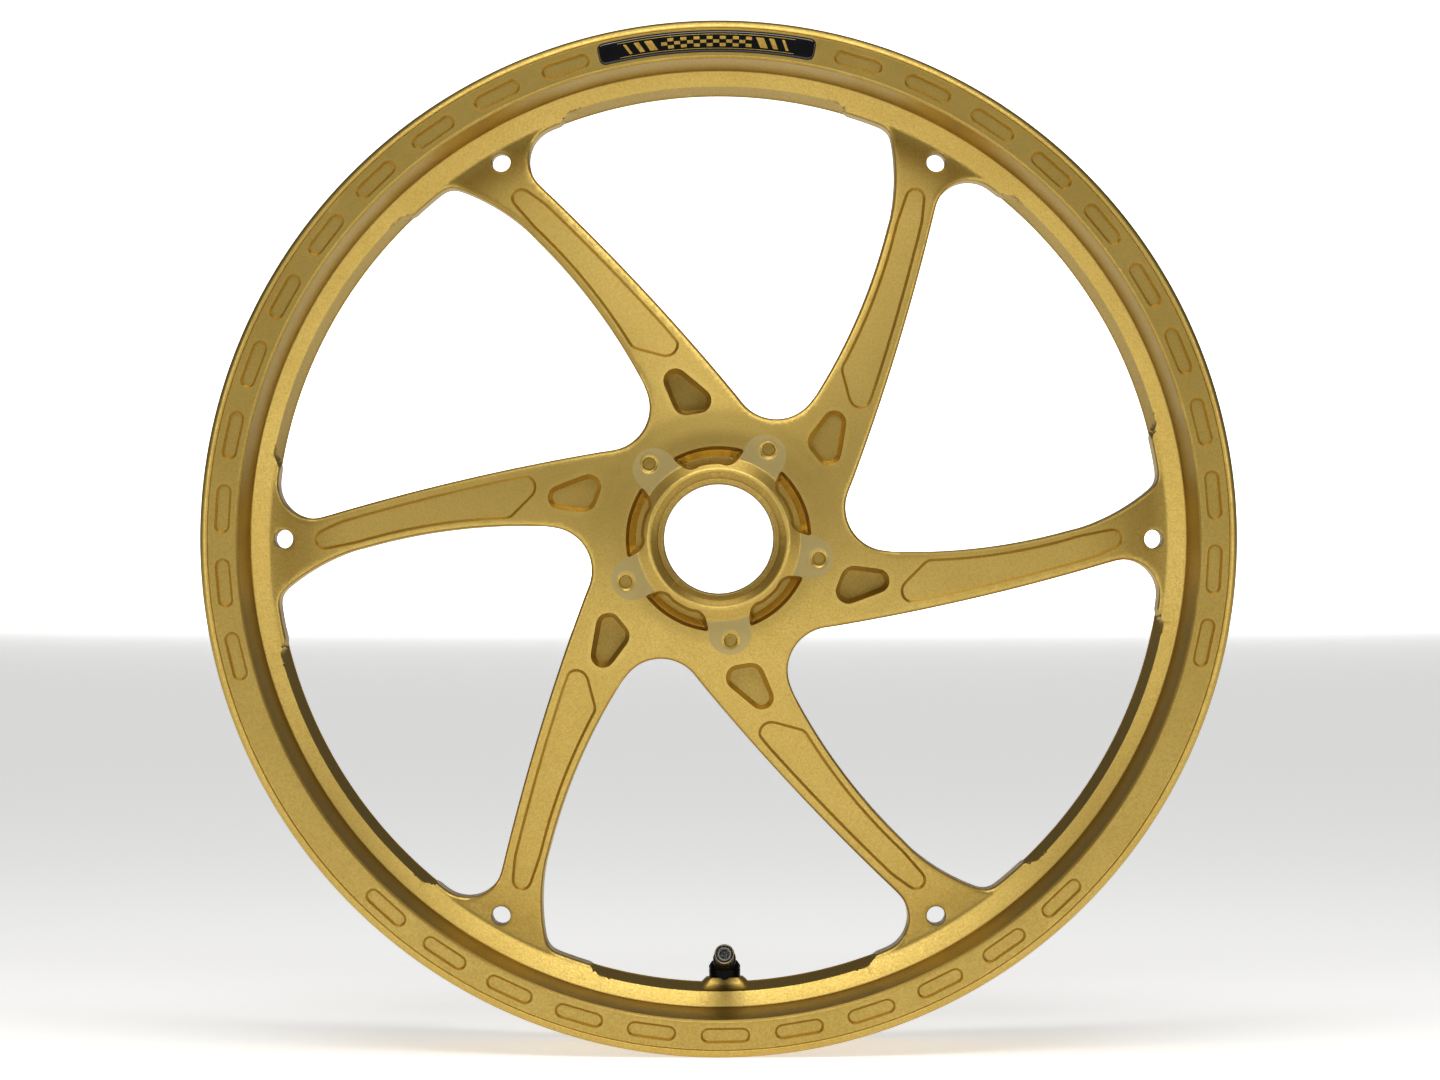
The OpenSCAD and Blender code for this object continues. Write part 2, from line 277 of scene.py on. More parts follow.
face_line = filleted(
    [(30.2, NOSE_HALF_T - 0.5, 0), (30.7, NOSE_HALF_T - 0.02, 0.5), (31.6, NOSE_HALF_T - 0.02, 1.2),
     (36.9, LUG_HALF_T, 0.5), (46, LUG_HALF_T - 0.1, 60)]
    + [(r, float(spoke_face(r)), 60) for r in (58, 72, 90, 120, 160, 199)]
    + [(203.6, TIP_HALF_T + 0.1, 1.6), (212.6, 15.9, 1.6), (213.6, 26, 3), (215.2, FACE_H - 1.3, 0.5),
       (216.4, FACE_H - 0.05, 0.5), (228.5, FACE_H - 0.02, 0.1), (228.9, FACE_H - 0.5, 0.1),
       (229.1, FACE_H - 0.1, 0.1)])
face_line = np.vstack([face_line, arc((RIM_R - 3.15, FACE_H - 3.15), 3.15, 88, 0, 0.7)])
far_line = face_line[(face_line[:, 0] < 228) | (face_line[:, 0] > 229.2)]

# Outlines of the window, the face recess, the root pocket and the far side's pocket,
# all at the spoke whose tip hole is at angle 0.
window = softened(np.vstack([
    arc((76.6, 14.2), 19.5, 159.1, 267),
    arc((89.3, 256.6), 262.5, -92.6, -73.9),
    arc((136.7, 93), 92.4, -72, -49.3),
    arc((191.8, 29), 8, -40, 2),
    arc((0, 0), WINDOW_R, 8.6, 52.2),
    turned(arc((184.5, -25.1), WINDOW_R - 186.2, -4, 106.5), 60),
    turned(arc((-119.8, 999.5), 1053, -73.7, -80.6), 60)]), 1.2, 3)
recess = softened(np.vstack([
    arc((179, 0.2), 4.6, -68, 98),
    arc((88, 256.6), 265.8, -73.4, -88.6),
    [(93.4, -9.9)],
    arc((88, -23.4), 5.8, 138, 250),
    arc((-119.8, 999.5), 1049, -78.3, -73.9)]), 0.9, 3)
root_pocket = softened(np.vstack([
    arc((60.8, -18), 5.6, 85, 158),
    arc((58.6, -23.3), 5.6, 175, 278),
    arc((71.6, -18.9), 5.2, -62, 75)]), 0.8, 3)
far_pocket = softened(np.vstack([
    arc((TIP_HOLE_R - 1, 0.4), 6.5, -60, 62),
    arc((89.3, 256.6), 268, -73.2, -88),
    arc((90, -20), 7, 110, 250),
    arc((-119.8, 999.5), 1047, -78, -74)]), 1.2, 3)

# Pocket between two disc lugs: its inner side follows the bearing nose, then each lug
half_pitch = 180 / LUGS
star_pocket = softened(np.vstack([
    turned([(40.2, -9.7), (36.5, -9.9)], half_pitch),
    turned(arc((36.6, -16.9), 7, 108, 150), half_pitch),
    arc((0, 0), 34, 8, -8),
    turned(arc((36.6, 16.9), 7, -150, -108), -half_pitch),
    turned([(36.5, 9.9), (40.2, 9.7)], -half_pitch),
    arc((0, 0), 41.5, -21.5, 21.5)]), 0.6, 2)

# Recess in the rim's side face: it lightens the flange. Three in fourteen are left out,
# and one of those gaps takes the badge.
SLOT_R, SLOT_W, SLOT_SPAN, SLOTS = 222.2, 6.6, 5.7, 42
BADGE_A = 91.4
half_slot = SLOT_R * math.sin(math.radians(SLOT_SPAN / 2)) - SLOT_W / 2
side_slot = softened(np.vstack([arc((SLOT_R, half_slot), SLOT_W / 2, 0, 180),
                                arc((SLOT_R, -half_slot), SLOT_W / 2, 180, 360)]), 0.7, 1)


def badge_outline(width, span):
    corner = 2.6
    inset = math.degrees(corner / SLOT_R)
    inner, outer, end = SLOT_R + 0.6 - width / 2, SLOT_R + 0.6 + width / 2, span / 2 - inset
    return turned(softened(np.vstack([
        arc((0, 0), outer, -end, end),
        turned(arc((outer - corner, 0), corner, 0, 90, 0.5), end),
        turned(arc((inner + corner, 0), corner, 90, 180, 0.5), end),
        arc((0, 0), inner, end, -end),
        turned(arc((inner + corner, 0), corner, 180, 270, 0.5), -end),
        turned(arc((outer - corner, 0), corner, 270, 360, 0.5), -end)]), 0.8, 1), BADGE_A)


# Scallop that thins the rim's wall between two spokes
SCALLOP_A = 32
scallop = softened(np.vstack([
    [(186, -69), (191.4, -64.4)],
    arc((0, 0), 207.2, -16.6, 16.6),
    [(191.4, 64.4), (186, 69)]]), 0.8, 40)


class Pocket:
    """A hollow milled in a face: its outline, its floor, and its wall's and edge's widths."""

    def __init__(self, loop, floor, wall, edge):
        self.loop, self.floor, self.wall, self.edge = loop, floor, wall, edge
        self.loops = [moved_in(loop, -edge + t * (wall + 2 * edge)) for t in (0, 0.3, 0.7, 1)]

    def lower(self, points, heights):
        inside = depth_inside(points, self.loop)
        share = smooth((inside + self.edge) / (self.wall + 2 * self.edge))
        floor = np.minimum(self.floor(np.hypot(*points.T)), heights)
        heights += share * (floor - heights)


def level(height):
    return lambda r: np.full(len(r), float(height))


def star_floor(r):
    return 31.5 + 2.0 * smooth((r - 37) / 3.5)


def around(count, loop, start=0.0):
    return [turned(loop, start + i * 360 / count) for i in range(count)]


def lug_ends():
    """The open lines round each disc lug's face, from pocket to pocket."""
    end = np.vstack([[(41.2, -LUG_HALF_W)], arc((42.8, 0), LUG_HALF_W, -90, 90), [(41.2, LUG_HALF_W)]])
    root = arc((0, 0), 36.9, -14.4, 14.4)
    return around(LUGS, end, LUG_TURN) + around(LUGS, root, LUG_TURN)


lug_outlines = around(LUGS, np.vstack([
    arc((0, 0), 36.9, 15.1, -15.1), arc((42.8, 0), LUG_HALF_W, -90, 90)]), LUG_TURN)
front_pockets = [Pocket(p, lambda r: spoke_face(r) - 1.6, 0.9, 0.2) for p in around(SPOKES, recess)]
front_pockets += [Pocket(p, level(28 if i % 2 else 20), 1.3, 0.4)
                  for i, p in enumerate(around(SPOKES, root_pocket))]
front_pockets += [Pocket(p, star_floor, 0.9, 0.3) for p in around(LUGS, star_pocket, LUG_TURN + half_pitch)]
for bolt in around(LUGS, np.array([(DISC_BOLT_R, 0.0)]), LUG_TURN):
    front_pockets.append(Pocket(circle(4.1, 40, bolt[0]), level(LUG_HALF_T - 0.9), 0.8, 0.15))
    front_pockets.append(Pocket(circle(3.0, 36, bolt[0]), level(LUG_HALF_T - 4), 0.3, 0.05))
front_pockets += [Pocket(turned(side_slot, BADGE_A - 0.6 + i * 360 / SLOTS), level(FACE_H - 1.9), 0.7, 0.2)
                  for i in range(SLOTS) if 1 < i % 14 < 13]
front_pockets.append(Pocket(badge_outline(9.6, 25.1), level(FACE_H - 0.9), 0.2, 0.1))
back_pockets = [Pocket(p, level(4.5), 1.6, 0.5) for p in around(SPOKES, far_pocket)]
back_pockets += [Pocket(p, star_floor, 0.9, 0.3) for p in around(LUGS, star_pocket, half_pitch - LUG_TURN)]
windows = around(SPOKES, window)
tip_holes = around(SPOKES, circle(TIP_HOLE, 44, (TIP_HOLE_R, 0)))
WINDOW_EDGE, HOLE_EDGE = 1.5, 0.5


def face_of_wheel(line, pockets, lines):
    """One face of the wheel: triangles over its plan, each point lifted to its height."""
    cuts = [(w, WINDOW_EDGE * (1 - math.cos(math.radians(a)))) for w in windows for a in (0, 30, 60, 90)]
    cuts += [(h, d) for h in tip_holes for d in (0, 0.25, HOLE_EDGE)]
    loops = [(moved_in(loop, -d), True) for loop, d in cuts]
    free_ends = [(l, True) for p in pockets for l in p.loops] + [(l, False) for l in lines]
    scallops = [moved_in(turned(scallop, SCALLOP_A + 60 * i), d) for i in range(SPOKES) for d in (-0.6, 0, 0.6)]
    rs = [line[0, 0]] + [r for r in line[:, 0] if r > 206 and not 216.8 < r < 228.2]
    rings = [circle(r, RIM_STEPS) for r in rs]
    edges, plan, count = [], [], 0
    for loop, closed in loops + free_ends + [(r, True) for r in rings]:
        kept = np.ones(len(loop), bool)
        if len(plan) >= len(loops):
            for outline in windows + tip_holes:
                kept &= depth_inside(loop, outline) < -HOLE_EDGE - 0.3
        numbers = np.where(kept, count + np.cumsum(kept) - 1, -1)
        ends = range(len(loop) if closed else len(loop) - 1)
        edges += [(int(numbers[i]), int(numbers[(i + 1) % len(loop)])) for i in ends
                  if numbers[i] >= 0 and numbers[(i + 1) % len(loop)] >= 0]
        plan.append(loop[kept])
        count += kept.sum()
    free_rs = np.concatenate([np.arange(31, 38, 0.7), np.arange(38.8, 200, 1.9), np.arange(200, 206, 0.7),
                              np.arange(217.7, 228, 1.7)])
    free = np.vstack([circle(r, round(2 * math.pi * r / min(1.9, max(1.0, r / 40)))) for r in free_rs]
                     + scallops)
    keep = np.ones(len(free), bool)
    for outline in windows:
        keep &= depth_inside(free, outline) < -WINDOW_EDGE - 0.5
    for outline in tip_holes:
        keep &= depth_inside(free, outline) < -HOLE_EDGE - 0.5
    for i in range(SPOKES):
        near = depth_inside(free, turned(scallop, SCALLOP_A + 60 * i))
        keep[:len(free) - sum(map(len, scallops))] &= np.abs(near[:len(free) - sum(map(len, scallops))]) > 0.9
    for p in pockets:
        inside = depth_inside(free, p.loop)
        keep &= (inside < -p.edge - 0.4) | (inside > p.wall + p.edge + 0.4)
    keep &= np.hypot(*free.T) < 206.3
    sides = np.vstack([circle(r, round(2 * math.pi * r / 1.9)) for r in free_rs if r > 216])
    clear = np.ones(len(sides), bool)
    for p in pockets:
        inside = depth_inside(sides, p.loop)
        clear &= (inside < -p.edge - 0.4) | (inside > p.wall + p.edge + 0.4)
    plan = np.vstack(plan + [free[keep], sides[clear]])
    points, _, faces, origins, _, _ = delaunay_2d_cdt([Vector(p) for p in plan], edges, [], 0, 1e-6)
    place_of = np.full(len(plan), -1)
    for new, old in enumerate(origins):
        place_of[list(old)] = new
    points, faces = np.array([tuple(p) for p in points]), np.array(faces)
    middle = points[faces].mean(1)
    solid = np.hypot(*middle.T) > line[0, 0]
    for outline in windows + tip_holes:
        solid &= depth_inside(middle, outline) < 0
    radius = np.hypot(*points.T)
    heights = np.interp(radius, line[:, 0], line[:, 1])
    cone = np.clip(1.5 + (radius - WINDOW_R - 0.4) * 3.375, 1.5, None)
    for i in range(SPOKES):
        share = smooth((depth_inside(points, turned(scallop, SCALLOP_A + 60 * i)) + 0.6) / 1.2)
        heights += share * (np.minimum(cone, heights) - heights)
    for p in pockets:
        p.lower(points, heights)
    for outlines, edge in ((windows, WINDOW_EDGE), (tip_holes, HOLE_EDGE)):
        for outline in outlines:
            gap = np.clip(-depth_inside(points, outline), 0, edge)
            heights -= (edge - np.sqrt(edge**2 - (edge - gap) ** 2)) * np.clip(heights / 6, 0.2, 1)
    return points, heights, faces[solid], place_of


wheel = Shell()
joined = []
for line, pockets, lines, side in ((face_line, front_pockets, lug_ends(), 1), (far_line, back_pockets, [], -1)):
    points, heights, faces, place_of = face_of_wheel(line, pockets, lines)
    numbers = wheel.add(np.column_stack([points[:, 0], -side * heights, points[:, 1]]) * MM)
    middle = points[faces].mean(1)
    lugs = np.zeros(len(faces), int)
    for outline in (lug_outlines if side > 0 else []):
        lugs |= depth_inside(middle, outline) > 0
    for p in (pockets if side > 0 else []):
        if p.floor is star_floor or len(p.loop) < 50:
            lugs &= depth_inside(middle, p.loop) < -p.edge
    for corners, finish in zip(numbers[faces], lugs):
        wheel.face(*corners[::side], finish=int(finish))
    joined.append(numbers[place_of])

# Walls of the windows and of the tip holes, from one face to the other
done = 0
for outlines, loops_each in ((windows, 4), (tip_holes, 3)):
    for outline in outlines:
        near, far = (j[done:done + len(outline)] for j in joined)
        done += len(outline) * loops_each
        all_points = np.vstack(wheel.points)
        middles = [wheel.add(all_points[near] * (1 - t) + all_points[far] * t) for t in (0.25, 0.5, 0.75)]
        rows = [near, *middles, far]
        for a, b in zip(rows, rows[1:]):
            wheel.strip(b, a)


def ring_row(r, h, steps=RIM_STEPS):
    plan = circle(r, steps)
    return np.column_stack([plan[:, 0], np.full(steps, -h), plan[:, 1]]) * MM


def on_ring(side, r):
    """Numbers of one face's points on the ring of that radius, in order round it."""
    points = np.vstack(wheel.points)
    own = joined[side][joined[side] >= 0]
    own = np.unique(own)
    at = points[own] / MM
    near = own[np.abs(np.hypot(at[:, 0], at[:, 2]) - r) < 1e-4]
    angles = np.arctan2(points[near, 2], points[near, 0]) % (2 * math.pi)
    order = near[np.argsort(np.where(angles > 2 * math.pi - 1e-6, 0, angles))]
    return order


# Bore: the lead-in, the bearing seat and its shoulder, and the same at the far end
SEAT_END = NOSE_HALF_T - 17
lead = filleted([(30.2, NOSE_HALF_T - 0.5, 0), (29.9, NOSE_HALF_T - 0.9, 0.2), (27.5, NOSE_HALF_T - 3, 0.5),
                 (27.5, SEAT_END, 0.25), (25.3, SEAT_END, 0.4), (25, SEAT_END - 0.5, 0.3), (25, 8, 0)], 4)
lead = lead[1:]
bore = [on_ring(0, 30.2)] + [wheel.add(ring_row(r, h)) for r, h in lead]
bore += [wheel.add(ring_row(r, -h)) for r, h in lead[::-1]] + [on_ring(1, 30.2)]
for a, b in zip(bore, bore[1:]):
    wheel.strip(a, b)

# Tyre side: flange, bead seat, safety hump and well, from the front edge to the far one
BEAD_R, INSIDE_HALF_W = RIM_R - 14, FACE_H - 6.55
tyre_side = filleted(
    [(RIM_R, FACE_H - 3.15, 0), (RIM_R, INSIDE_HALF_W + 2.4, 0.5), (RIM_R - 2.4, INSIDE_HALF_W, 2.0),
     (BEAD_R + 3, INSIDE_HALF_W, 1.0), (BEAD_R + 0.9, INSIDE_HALF_W - 0.8, 2.5),
     (BEAD_R, INSIDE_HALF_W - 3, 2.5), (BEAD_R - 1.2, 27, 2), (BEAD_R + 0.2, 24.5, 1.5),
     (BEAD_R - 0.6, 22, 1.5), (WELL_R, 13, 3)] + [(WELL_R, h, 0) for h in np.arange(11, -1, -1.0)], 6)
tyre_side = tyre_side[1:-1]
toward_valve = np.array([math.cos(math.radians(VALVE_A)), 0, math.sin(math.radians(VALVE_A))])


def spot_faced(points):
    """Mills the well flat round the valve's hole, for its washer."""
    along = points @ toward_valve
    across = np.linalg.norm(points - np.outer(along, toward_valve), axis=1)
    share = smooth((10.5 * MM - across) / (2 * MM)) * (along > 0)
    return points + np.outer(share * (SPOT_R * MM - along), toward_valve)


tyre = [on_ring(0, RIM_R)] + [wheel.add(spot_faced(ring_row(r, h))) for r, h in tyre_side]
tyre += [wheel.add(spot_faced(ring_row(r, -h))) for r, h in tyre_side[::-1]] + [on_ring(1, RIM_R)]
for a, b in zip(tyre, tyre[1:]):
    wheel.strip(b, a)


# Seat for the valve: a raised block on the hub side of the rim's wall, milled flat
def rounded_rectangle(half_w, half_h, corner, steps=8):
    corners = [(half_w - corner, half_h - corner, 0), (corner - half_w, half_h - corner, 90),
               (corner - half_w, corner - half_h, 180), (half_w - corner, corner - half_h, 270)]
    return np.vstack([arc((x, y), corner, a, a + 90, corner * math.pi / 2 / steps) for x, y, a in corners])


def at_valve(along, across, axial):
    """Points on the valve's line: outwards along the radius, round the rim, to the badge side."""
    c, s = math.cos(math.radians(VALVE_A)), math.sin(math.radians(VALVE_A))
    along, across, axial = np.broadcast_arrays(along, across, axial)
    return np.column_stack([along * c - across * s, -axial, along * s + across * c]) * MM


boss_line = [(206.5, 13.2, 12.4), (205, 12.6, 10.2), (203.6, 11.8, 8.4), (202.2, 10.8, 7.5), (201.1, 9.8, 7.1),
             (200.4, 9.1, 6.9), (199.9, 8.6, 6.75), (199.68, 8.2, 6.5), (BOSS_R, 7.8, 6.2)]
rows = []
for r, half_w, half_h in boss_line:
    plan = rounded_rectangle(half_w, half_h, 4.0)[::-1]
    rows.append(at_valve(r, plan[:, 0], plan[:, 1]))
top = wheel.rows(rows)[-1]
wheel.face(*top)
wheel.piece("forged_wheel_skin", "wheel", "gold_anodised_forging", [gold, lug_face], ["forged_wheel"])


# --- Rim badge -------------------------------------------------------------------------
# A black printed strip under a clear domed resin, glued into its seat in the rim's
# side face. Its print is a plain gold chequer between slanting bars.

# Resin-domed label: deep black with a hard clear gloss.
badge_black, tree, shader, place = new_material("black_print_under_domed_resin")
cloud = grain(tree, place, 6)
tree.links.new(blended(tree, cloud, rgb("#08080A"), rgb("#101013")), shader.inputs["Base Color"])
tree.links.new(between(tree, cloud, 0.10, 0.16), shader.inputs["Roughness"])
shader.inputs["Coat Weight"].default_value = 0.8
shader.inputs["Coat Roughness"].default_value = 0.04

# Gold ink under the same resin: flatter than the wheel's own gold.
badge_gold, tree, shader, place = new_material("gold_ink_under_domed_resin")
cloud = grain(tree, place, 1.2)
tree.links.new(blended(tree, cloud, rgb("#C9A44A"), rgb("#DDBB62")), shader.inputs["Base Color"])
tree.links.new(between(tree, cloud, 0.3, 0.4), shader.inputs["Roughness"])
shader.inputs["Metallic"].default_value = 0.7
shader.inputs["Coat Weight"].default_value = 0.8
shader.inputs["Coat Roughness"].default_value = 0.04

BADGE_W, BADGE_SPAN, BADGE_T = 9.2, 25.0, 1.2
BADGE_TOP = -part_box("rim_badge")[0].y / MM - 0.02
MID_R = SLOT_R + 0.6


def bar(start, end, inner, outer, slant=0.0):
    """A printed bar: its angles at the middle radius, its radii, and how far it leans."""
    corners = [(inner, start - slant), (outer, start + slant), (outer, end + slant), (inner, end - slant)]
    corners = [r * np.array([math.cos(math.radians(a)), math.sin(math.radians(a))]) for r, a in corners]
    return turned(softened(np.array(corners)[[0, 1, 2, 3]], 0.35, 0), BADGE_A)[::-1]


prints = []
for column in range(14):
    for row in range(3):
        if (column + row) % 2 == 0:
            start = -5.25 + column * 0.75
            prints.append(bar(start + 0.03, start + 0.72, MID_R - 2.4 + row * 1.6 + 0.06, MID_R - 0.8 + row * 1.6 - 0.06))
for end in (-1, 1):
    for i, width in enumerate((0.9, 0.6, 0.35)):
        start = end * (6.4 + i * 1.35)
        prints.append(bar(start - width / 2, start + width / 2, MID_R - 2.3, MID_R + 2.3, 0.3))
for inner in (MID_R - 3.3, MID_R + 3.05):
    prints.append(turned(softened(np.vstack([
        arc((0, 0), inner + 0.25, -10.2, 10.2), arc((0, 0), inner, 10.2, -10.2)]), 0.6, 0), BADGE_A)[::-1])


def printed_top(shell, outline, steps_in, prints, free, height, where):
    """A plate's top with printed shapes in it. Returns the numbers of its outline's points."""
    loops = [moved_in(outline, d) for d in steps_in] + prints
    free = free[depth_inside(free, outline) > steps_in[-1] + 0.15]
    for p in prints:
        free = free[np.abs(depth_inside(free, p, 1.0)) > 0.15]
    plan, edges, start = np.vstack(loops + [free]), [], 0
    for loop in loops:
        edges += [(start + i, start + (i + 1) % len(loop)) for i in range(len(loop))]
        start += len(loop)
    points, _, faces, origins, _, _ = delaunay_2d_cdt([Vector(p) for p in plan], edges, [], 0, 1e-6)
    points, faces = np.array([tuple(p) for p in points]), np.array(faces)
    middle = points[faces].mean(1)
    numbers = shell.add(where(points, height(depth_inside(points, outline, 0.1))))
    printed = np.zeros(len(faces), bool)
    for p in prints:
        printed |= depth_inside(middle, p, 0.5) > 0
    for corners, inside, finish in zip(numbers[faces], depth_inside(middle, outline, 0.5) > 0, printed):
        if inside:
            shell.face(*corners, finish=int(finish))
    place_of = np.full(len(plan), -1)
    for new, old in enumerate(origins):
        place_of[list(old)] = new
    return numbers[place_of[:len(outline)]]


def badge_height(inside):
    edge = np.clip(1 - np.clip(inside, 0, 0.5) / 0.5, 0, 1)
    return BADGE_TOP - 0.65 + 0.3 * np.sqrt(1 - edge**2) + 0.35 * np.sqrt(smooth(inside / 4.2))


badge = Shell()
outline = badge_outline(BADGE_W, BADGE_SPAN)
top = printed_top(badge, outline, [0, 0.12, 0.3, 0.7], prints,
                  np.vstack([circle(r, 1400) for r in np.arange(MID_R - 3.8, MID_R + 4, 0.75)]),
                  badge_height, lambda plan, height: np.column_stack([plan[:, 0], -height, plan[:, 1]]) * MM)
foot = badge.add(np.column_stack([outline[:, 0], np.full(len(outline), BADGE_T - BADGE_TOP), outline[:, 1]]) * MM)
badge.strip(foot, top)
badge.face(*foot[::-1])
badge.piece("rim_badge_dome", "wheel", "black_domed_badge", [badge_black, badge_gold], ["rim_badge"])

# --- Valve body ------------------------------------------------------------------------
# An elbow turned and bored from aluminium bar and anodised black. Its foot seats on the
# rubber ring on the boss, and its arm points out to the badge side.

# Black anodised aluminium: satin, with fine turning lines and edges worn a little grey.
valve_black, tree, shader, place = new_material("black_anodised_turned_aluminium")
speck = grain(tree, place, 0.5)
colour = blended(tree, speck, rgb("#0D0D10"), rgb("#17171B"))
edge = add(tree, "ShaderNodeNewGeometry").outputs["Pointiness"]
colour = blended(tree, between(tree, edge, 0, 0.6, 0.54, 0.62), colour, rgb("#5A5A60"))
tree.links.new(colour, shader.inputs["Base Color"])
shader.inputs["Metallic"].default_value = 0.75
tree.links.new(between(tree, speck, 0.3, 0.42), shader.inputs["Roughness"])
bump = add(tree, "ShaderNodeBump", {"Height": speck, "Strength": 0.15, "Distance": 0.00003})
tree.links.new(bump.outputs["Normal"], shader.inputs["Normal"])

ARM_R, ARM_TILT, ARM_TIP = 192.5, 8.0, 38.0
THREAD_PITCH = 0.794


def on_arm(x, y, along):
    """Points on the valve's arm: along it from the elbow to the tip."""
    c, s = math.cos(math.radians(ARM_TILT)), math.sin(math.radians(ARM_TILT))
    x, y, along = np.broadcast_arrays(x, y, along)
    return at_valve(ARM_R + x * c - along * s, y, x * s + along * c)


def on_foot(x, y, along):
    """Points on the valve's foot: along it from the boss towards the hub."""
    return at_valve(BOSS_R - along, y, x)


def lathe(shell, line, where, steps=72, finish=0, flutes=None):
    """Turns a line of (radius, length along) into a closed round piece."""
    rows = []
    turn = np.arange(steps) * 2 * math.pi / steps
    for r, along in line:
        r = r - (flutes(along, turn) if flutes else 0)
        rows.append(where(r * np.cos(turn), r * np.sin(turn), along))
    numbers = shell.rows(rows, finish)
    shell.face(*numbers[0][::-1], finish=finish)
    shell.face(*numbers[-1], finish=finish)


def thread(r, start, end, pitch, depth):
    """The line of a screw thread, crest and root by turns."""
    turns = int((end - start) / pitch)
    line = []
    for i in range(turns):
        w = start + i * pitch
        line += [(r - depth, w), (r - depth, w + 0.15 * pitch), (r, w + 0.45 * pitch), (r, w + 0.6 * pitch)]
    return line + [(r - depth, start + turns * pitch)]


valve = Shell()
foot_line = filleted([(3, -1.2, 0), (7.0, -1.2, 0.2), (7.15, 3.2, 0.3), (6.85, 3.5, 0.15), (7.15, 3.8, 0.15),
                      (7.15, 5.0, 0.3), (5.7, 7.2, 0.4), (2, 7.3, 0)], 4)
lathe(valve, foot_line, on_foot)
arm_line = filleted([(3, -6.2, 0), (5.15, -6.2, 0.7), (5.15, 12.2, 0.2), (4.9, 12.6, 0.15), (5.15, 13, 0.15),
                     (5.15, 15, 0.4), (4.4, 15.4, 0.4), (4.4, 22, 0.25), (3.4, 22.8, 0.2)], 4)
lathe(valve, np.vstack([arm_line, thread(3.8, 22.9, ARM_TIP - 0.6, THREAD_PITCH, 0.42),
                        [(3.3, ARM_TIP), (2.75, ARM_TIP), (2.65, ARM_TIP - 0.2), (2.65, ARM_TIP - 8.9)]]), on_arm)
shank_line = np.vstack([[(3, -0.1), (3.5, 0)], thread(4.0, 0.4, 16.8, 1.0, 0.5), [(3.4, 17.4), (1.2, 17.5)]])
lathe(valve, shank_line, lambda x, y, along: at_valve(BOSS_R + along, x, y))
valve.piece("valve_elbow", "wheel", "black_anodised_valve", [valve_black], ["valve_body"])

# --- Valve cap -------------------------------------------------------------------------
# A black moulded cap that screws onto the arm, fluted for the fingers, with a bright
# turned rim round the disc let into its end.

# Black moulded plastic: semi-gloss, with a faint moulded grain.
cap_black, tree, shader, place = new_material("black_moulded_cap_plastic")
speck = grain(tree, place, 0.4)
tree.links.new(blended(tree, speck, rgb("#08080A"), rgb("#0F0F12")), shader.inputs["Base Color"])
tree.links.new(between(tree, speck, 0.46, 0.58), shader.inputs["Roughness"])
shader.inputs["Specular IOR Level"].default_value = 0.3
bump = add(tree, "ShaderNodeBump", {"Height": speck, "Strength": 0.1, "Distance": 0.00002})
tree.links.new(bump.outputs["Normal"], shader.inputs["Normal"])

# Bright turned aluminium: pale, with a fine brushed grain.
bright_rim, tree, shader, place = new_material("bright_turned_aluminium")
speck = grain(tree, place, 0.3)
tree.links.new(blended(tree, speck, rgb("#C9C7BE"), rgb("#DAD8D0")), shader.inputs["Base Color"])
shader.inputs["Metallic"].default_value = 1.0
tree.links.new(between(tree, speck, 0.2, 0.3), shader.inputs["Roughness"])

CAP_FROM, CAP_TO, CAP_R = 30.0, 46.0, 4.5
FLUTES, FLUTE_DEPTH = 24, 0.34


def flute(along, turn):
    """How far the cap's side is cut in, at a length along it and at each turn round it."""
    here = float(smooth((along - CAP_FROM - 1.2) / 0.9) * smooth((CAP_TO - 2.2 - along) / 0.6))
    return 0.02 + FLUTE_DEPTH * here * (0.5 + 0.5 * np.cos(turn * FLUTES)) ** 2


cap = Shell()
cap_line = [(3.88, CAP_FROM + 9), (3.88, CAP_FROM + 0.3), (4.1, CAP_FROM), (CAP_R - 0.25, CAP_FROM),
            (CAP_R - 0.07, CAP_FROM + 0.07), (CAP_R, CAP_FROM + 0.25)]
cap_line += [(CAP_R, along) for along in np.linspace(CAP_FROM + 1.1, CAP_TO - 2.1, 14)]
lathe(cap, cap_line + [(CAP_R, CAP_TO - 1.1)], on_arm, 192, flutes=flute)
lathe(cap, filleted([(3.6, CAP_TO - 1.2, 0), (CAP_R - 0.02, CAP_TO - 1.15, 0.1), (CAP_R - 0.04, CAP_TO - 0.75, 0.15),
                     (3.95, CAP_TO - 0.1, 0.1), (3.6, CAP_TO - 0.1, 0)], 4), on_arm, 96, 1)
lathe(cap, filleted([(3.4, CAP_TO - 0.9, 0), (3.95, CAP_TO - 0.6, 0.1), (3.9, CAP_TO - 0.03, 0.12),
                     (3.1, CAP_TO - 0.03, 0.12), (3.05, CAP_TO - 0.48, 0.05), (2.6, CAP_TO - 0.5, 0)], 4), on_arm, 96)
cap.piece("valve_cap_fluted", "valve_cap", "black_cap", [cap_black, bright_rim], ["valve_cap"])

